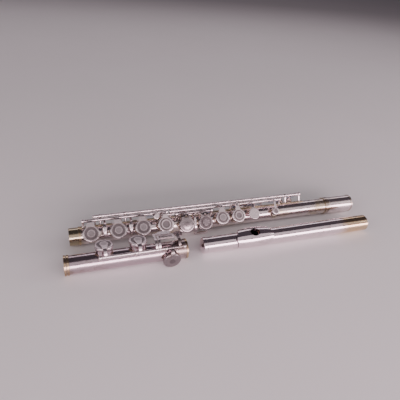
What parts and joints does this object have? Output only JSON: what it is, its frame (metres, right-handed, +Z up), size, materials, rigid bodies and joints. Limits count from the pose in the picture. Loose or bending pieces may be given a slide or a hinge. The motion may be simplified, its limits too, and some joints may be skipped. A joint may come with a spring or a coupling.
{
  "type": "concert flute",
  "caption": "Concert flute taken apart into head, body and foot sections laid side by side, with closed cups, sprung keys and sliding tenons.",
  "frame": {"origin": "on the surface that the sections lie on, under the middle of the whole group's bounding box", "axes": "+X along the tubes, from the foot end of the body towards its barrel; +Y away from the player's side, towards the body section; +Z up"},
  "size_m": [0.377, 0.082, 0.0329],
  "materials": {
    "silver_plate": "polished silver plate, handled, with warm wear",
    "tarnished_silver": "silver plate gone brown and purple with tarnish",
    "brass": "bare brass, dulled",
    "steel": "ground hinge steel",
    "spring_steel": "blued needle springs",
    "pad_skin": "felt pads under skin",
    "cork": "natural cork"
  },
  "bodies": {
    "body_section": {"body_tube": "silver_plate", "foot_tenon_ring": "brass", "barrel_sleeve": "silver_plate", "barrel_rings": "silver_plate", "body_ribs": "silver_plate", "body_posts": "silver_plate", "body_steels": "steel", "body_springs": "spring_steel", "body_bumpers": "cork"},
    "head_section": {"head_tube": "silver_plate", "lip_plate": "silver_plate", "riser": "silver_plate", "stopper_cork": "cork", "stopper_screw": "brass", "stopper_nut": "brass"},
    "foot_section": {"foot_tube": "tarnished_silver", "foot_socket": "tarnished_silver", "foot_rings": "brass", "foot_rib": "tarnished_silver", "foot_posts": "tarnished_silver", "foot_steel": "steel", "foot_springs": "spring_steel"},
    "d_key": {"d_key": "silver_plate", "d_pad": "pad_skin"},
    "e_key": {"e_key": "silver_plate", "e_pad": "pad_skin", "e_adjusting_screw": "steel"},
    "f_key": {"f_key": "silver_plate", "f_pad": "pad_skin", "f_adjusting_screw": "steel"},
    "f_sharp_key": {"f_sharp_key": "silver_plate", "f_sharp_pad": "pad_skin"},
    "a_key": {"a_key": "silver_plate", "a_pad": "pad_skin"},
    "b_flat_key": {"b_flat_key": "silver_plate", "b_flat_pad": "pad_skin"},
    "g_key": {"g_key": "silver_plate", "g_pads": "pad_skin"},
    "c_key": {"c_key": "silver_plate", "c_sharp_pad": "pad_skin"},
    "b_flat_shake_lever": {"b_flat_shake_lever": "silver_plate"},
    "d_trill_key": {"d_trill_key": "silver_plate", "d_trill_pad": "pad_skin"},
    "d_sharp_trill_key": {"d_sharp_trill_key": "silver_plate", "d_sharp_trill_pad": "pad_skin"},
    "g_sharp_key": {"g_sharp_key": "silver_plate", "g_sharp_pad": "pad_skin"},
    "thumb_b_key": {"thumb_b_key": "silver_plate", "thumb_b_pad": "pad_skin"},
    "thumb_b_flat_lever": {"thumb_b_flat_lever": "silver_plate"},
    "low_c_key": {"low_c_key": "tarnished_silver", "low_c_pad": "pad_skin"},
    "low_c_roller": {"low_c_roller": "tarnished_silver"},
    "low_c_sharp_key": {"low_c_sharp_key": "tarnished_silver", "low_c_sharp_pad": "pad_skin"},
    "low_d_sharp_key": {"low_d_sharp_key": "tarnished_silver", "low_d_sharp_pad": "pad_skin"},
    "crown": {"crown": "silver_plate"}
  },
  "joints": [
    {"name": "head_slide", "type": "slide", "parent": "body_section", "child": "head_section", "axis": [1, 0, 0], "range_m": [0, 0.26]},
    {"name": "foot_slide", "type": "slide", "parent": "body_section", "child": "foot_section", "axis": [-1, 0, 0], "range_m": [0, 0.15]},
    {"name": "crown_turn", "type": "hinge", "parent": "head_section", "child": "crown", "pos_m": [-0.03865, -0.02246, 0.0099], "axis": [1, 0, 0], "continuous": true},
    {"name": "d_key_hinge", "type": "hinge", "parent": "body_section", "child": "d_key", "pos_m": [-0.1574, 0.02354, 0.02843], "axis": [1, 0, 0], "range_deg": [0, 9.66], "stiffness_Nm_per_rad": 0.01, "springref_deg": -28.65},
    {"name": "e_key_hinge", "type": "hinge", "parent": "body_section", "child": "e_key", "pos_m": [-0.1574, 0.02354, 0.02843], "axis": [1, 0, 0], "range_deg": [0, 9.66], "stiffness_Nm_per_rad": 0.01, "springref_deg": -28.65},
    {"name": "f_key_hinge", "type": "hinge", "parent": "body_section", "child": "f_key", "pos_m": [-0.1574, 0.02354, 0.02843], "axis": [1, 0, 0], "range_deg": [0, 9.66], "stiffness_Nm_per_rad": 0.01, "springref_deg": -28.65},
    {"name": "f_sharp_key_hinge", "type": "hinge", "parent": "body_section", "child": "f_sharp_key", "pos_m": [-0.1574, 0.02354, 0.02843], "axis": [1, 0, 0], "range_deg": [0, 9.66], "stiffness_Nm_per_rad": 0.01, "springref_deg": -28.65},
    {"name": "g_key_hinge", "type": "hinge", "parent": "body_section", "child": "g_key", "pos_m": [-0.1574, 0.01925, 0.02692], "axis": [1, 0, 0], "range_deg": [0, 11.11], "stiffness_Nm_per_rad": 0.01, "springref_deg": -28.65},
    {"name": "a_key_hinge", "type": "hinge", "parent": "body_section", "child": "a_key", "pos_m": [-0.1574, 0.02354, 0.02843], "axis": [1, 0, 0], "range_deg": [0, 9.66], "stiffness_Nm_per_rad": 0.01, "springref_deg": -28.65},
    {"name": "b_flat_key_hinge", "type": "hinge", "parent": "body_section", "child": "b_flat_key", "pos_m": [-0.1574, 0.02354, 0.02843], "axis": [1, 0, 0], "range_deg": [0, 9.66], "stiffness_Nm_per_rad": 0.01, "springref_deg": -28.65},
    {"name": "c_key_hinge", "type": "hinge", "parent": "body_section", "child": "c_key", "pos_m": [-0.1574, 0.02354, 0.02843], "axis": [1, 0, 0], "range_deg": [0, 9.66], "stiffness_Nm_per_rad": 0.01, "springref_deg": -28.65},
    {"name": "thumb_b_key_hinge", "type": "hinge", "parent": "body_section", "child": "thumb_b_key", "pos_m": [-0.1574, 0.0328, 0.02078], "axis": [-1, 0, 0], "range_deg": [0, 13.68], "stiffness_Nm_per_rad": 0.01, "springref_deg": -28.65},
    {"name": "thumb_b_flat_lever_hinge", "type": "hinge", "parent": "body_section", "child": "thumb_b_flat_lever", "pos_m": [-0.1574, 0.0328, 0.02078], "axis": [-1, 0, 0], "range_deg": [0, 13.68], "stiffness_Nm_per_rad": 0.01, "springref_deg": -28.65},
    {"name": "g_sharp_key_hinge", "type": "hinge", "parent": "body_section", "child": "g_sharp_key", "pos_m": [-0.1574, 0.02039, 0.02354], "axis": [1, 0, 0], "range_deg": [0, 6.14], "stiffness_Nm_per_rad": 0.01, "springref_deg": -28.65},
    {"name": "d_trill_key_hinge", "type": "hinge", "parent": "body_section", "child": "d_trill_key", "pos_m": [-0.1574, 0.02869, 0.02942], "axis": [1, 0, 0], "range_deg": [0, 7.53], "stiffness_Nm_per_rad": 0.01, "springref_deg": -28.65},
    {"name": "d_sharp_trill_key_hinge", "type": "hinge", "parent": "body_section", "child": "d_sharp_trill_key", "pos_m": [-0.1574, 0.02869, 0.02942], "axis": [1, 0, 0], "range_deg": [0, 7.53], "stiffness_Nm_per_rad": 0.01, "springref_deg": -28.65},
    {"name": "low_c_key_hinge", "type": "hinge", "parent": "foot_section", "child": "low_c_key", "pos_m": [-0.1656, -0.03474, 0.02433], "axis": [-1, 0, 0], "range_deg": [0, 10.33], "stiffness_Nm_per_rad": 0.01, "springref_deg": -28.65},
    {"name": "low_c_sharp_key_hinge", "type": "hinge", "parent": "foot_section", "child": "low_c_sharp_key", "pos_m": [-0.1656, -0.03474, 0.02433], "axis": [-1, 0, 0], "range_deg": [0, 10.33], "stiffness_Nm_per_rad": 0.01, "springref_deg": -28.65},
    {"name": "low_d_sharp_key_hinge", "type": "hinge", "parent": "foot_section", "child": "low_d_sharp_key", "pos_m": [-0.1656, -0.03474, 0.02433], "axis": [-1, 0, 0], "range_deg": [0, 7.83], "stiffness_Nm_per_rad": 0.01, "springref_deg": -28.65},
    {"name": "b_flat_shake_lever_hinge", "type": "hinge", "parent": "body_section", "child": "b_flat_shake_lever", "pos_m": [-0.083, 0.02354, 0.02843], "axis": [1, 0, 0], "range_deg": [0, 8], "stiffness_Nm_per_rad": 0.01, "springref_deg": -28.65},
    {"name": "low_c_roller_spin", "type": "hinge", "parent": "low_c_key", "child": "low_c_roller", "pos_m": [-0.0834, -0.02276, 0.02989], "axis": [1, 0, 0], "continuous": true}
  ],
  "couplings": [
    {"joint": "f_sharp_key_hinge", "follows": "f_key_hinge", "ratio": 1},
    {"joint": "b_flat_key_hinge", "follows": "a_key_hinge", "ratio": 1},
    {"joint": "low_c_sharp_key_hinge", "follows": "low_c_key_hinge", "ratio": 1}
  ]
}
